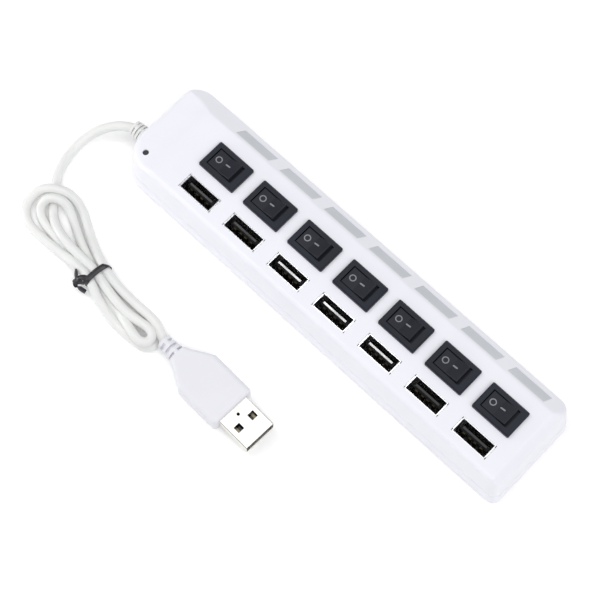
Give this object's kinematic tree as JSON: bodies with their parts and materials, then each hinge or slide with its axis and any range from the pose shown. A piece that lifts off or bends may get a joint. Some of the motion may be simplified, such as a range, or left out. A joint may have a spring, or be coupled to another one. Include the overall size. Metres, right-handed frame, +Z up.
{
  "type": "usb hub",
  "caption": "Long desk USB hub: a row of upright USB-A sockets, a rocker switch for each, light windows in a rear bevel, and a short tied cord with a plug.",
  "frame": {"origin": "middle of the case's footprint, on the surface it stands on", "axes": "+X along the case from the cord end to the far end, +Y from the sockets to the light windows, +Z up"},
  "size_m": [0.1831, 0.0801, 0.0228],
  "materials": {
    "case_white": "smooth semi-gloss moulded ABS",
    "bezel_black": "fine satin moulded plastic",
    "rocker_black": "smooth satin moulded plastic",
    "window_grey": "frosted translucent plastic",
    "liner_metal": "tin-plated folded sheet",
    "insulator_black": "moulded glass-filled plastic",
    "contact_brass": "gold-flashed contacts",
    "board_green": "green solder mask",
    "chip_black": "moulded epoxy",
    "can_metal": "drawn can",
    "led_clear": "water-clear epoxy",
    "led_smoked": "smoked epoxy",
    "core_insulation": "coloured wire insulation",
    "screw_steel": "zinc-plated steel",
    "foot_rubber": "self-adhesive rubber",
    "cord_jacket": "smooth off-white vinyl jacket",
    "tie_black": "flat vinyl twist tie",
    "grip_white": "moulded vinyl, soft sheen",
    "plug_metal": "nickel-plated folded sheet"
  },
  "bodies": {
    "hub": {"top_cover": "case_white", "bottom_cover": "case_white", "circuit_board": "board_green", "switch_bezel_1": "bezel_black", "switch_bezel_2": "bezel_black", "switch_bezel_3": "bezel_black", "switch_bezel_4": "bezel_black", "switch_bezel_5": "bezel_black", "switch_bezel_6": "bezel_black", "switch_bezel_7": "bezel_black", "port_shell_1": "liner_metal", "port_shell_2": "liner_metal", "port_shell_3": "liner_metal", "port_shell_4": "liner_metal", "port_shell_5": "liner_metal", "port_shell_6": "liner_metal", "port_shell_7": "liner_metal", "port_insulator_1": "insulator_black", "port_insulator_2": "insulator_black", "port_insulator_3": "insulator_black", "port_insulator_4": "insulator_black", "port_insulator_5": "insulator_black", "port_insulator_6": "insulator_black", "port_insulator_7": "insulator_black", "light_window_1": "window_grey", "light_window_2": "window_grey", "light_window_3": "window_grey", "light_window_4": "window_grey", "light_window_5": "window_grey", "light_window_6": "window_grey", "light_window_7": "window_grey", "switch_terminals": "contact_brass", "contact_plates": "contact_brass", "port_contacts": "contact_brass", "status_leds": "led_clear", "power_led": "led_smoked", "hub_controllers": "chip_black", "crystals": "can_metal", "capacitors": "can_metal", "resistors": "chip_black", "cord_cores": "core_insulation", "cover_screws": "screw_steel", "rubber_feet": "foot_rubber", "strain_relief": "cord_jacket", "cord_lead": "cord_jacket", "cord_hank": "cord_jacket", "cord_tie": "tie_black", "plug_grip": "grip_white", "plug_shell": "plug_metal", "plug_insulator": "insulator_black", "plug_contacts": "contact_brass"},
    "rocker_1": {"rocker_1": "rocker_black"},
    "rocker_2": {"rocker_2": "rocker_black"},
    "rocker_3": {"rocker_3": "rocker_black"},
    "rocker_4": {"rocker_4": "rocker_black"},
    "rocker_5": {"rocker_5": "rocker_black"},
    "rocker_6": {"rocker_6": "rocker_black"},
    "rocker_7": {"rocker_7": "rocker_black"}
  },
  "joints": [
    {"name": "switch_1", "type": "hinge", "parent": "hub", "child": "rocker_1", "pos_m": [-0.0513, 0.0004, 0.0196], "axis": [0, 1, 0], "range_deg": [0, 16]},
    {"name": "switch_2", "type": "hinge", "parent": "hub", "child": "rocker_2", "pos_m": [-0.0318, 0.0004, 0.0196], "axis": [0, 1, 0], "range_deg": [0, 16]},
    {"name": "switch_3", "type": "hinge", "parent": "hub", "child": "rocker_3", "pos_m": [-0.0123, 0.0004, 0.0196], "axis": [0, 1, 0], "range_deg": [0, 16]},
    {"name": "switch_4", "type": "hinge", "parent": "hub", "child": "rocker_4", "pos_m": [0.0072, 0.0004, 0.0196], "axis": [0, 1, 0], "range_deg": [0, 16]},
    {"name": "switch_5", "type": "hinge", "parent": "hub", "child": "rocker_5", "pos_m": [0.0267, 0.0004, 0.0196], "axis": [0, 1, 0], "range_deg": [0, 16]},
    {"name": "switch_6", "type": "hinge", "parent": "hub", "child": "rocker_6", "pos_m": [0.0462, 0.0004, 0.0196], "axis": [0, 1, 0], "range_deg": [0, 16]},
    {"name": "switch_7", "type": "hinge", "parent": "hub", "child": "rocker_7", "pos_m": [0.0657, 0.0004, 0.0196], "axis": [0, 1, 0], "range_deg": [0, 16]}
  ]
}
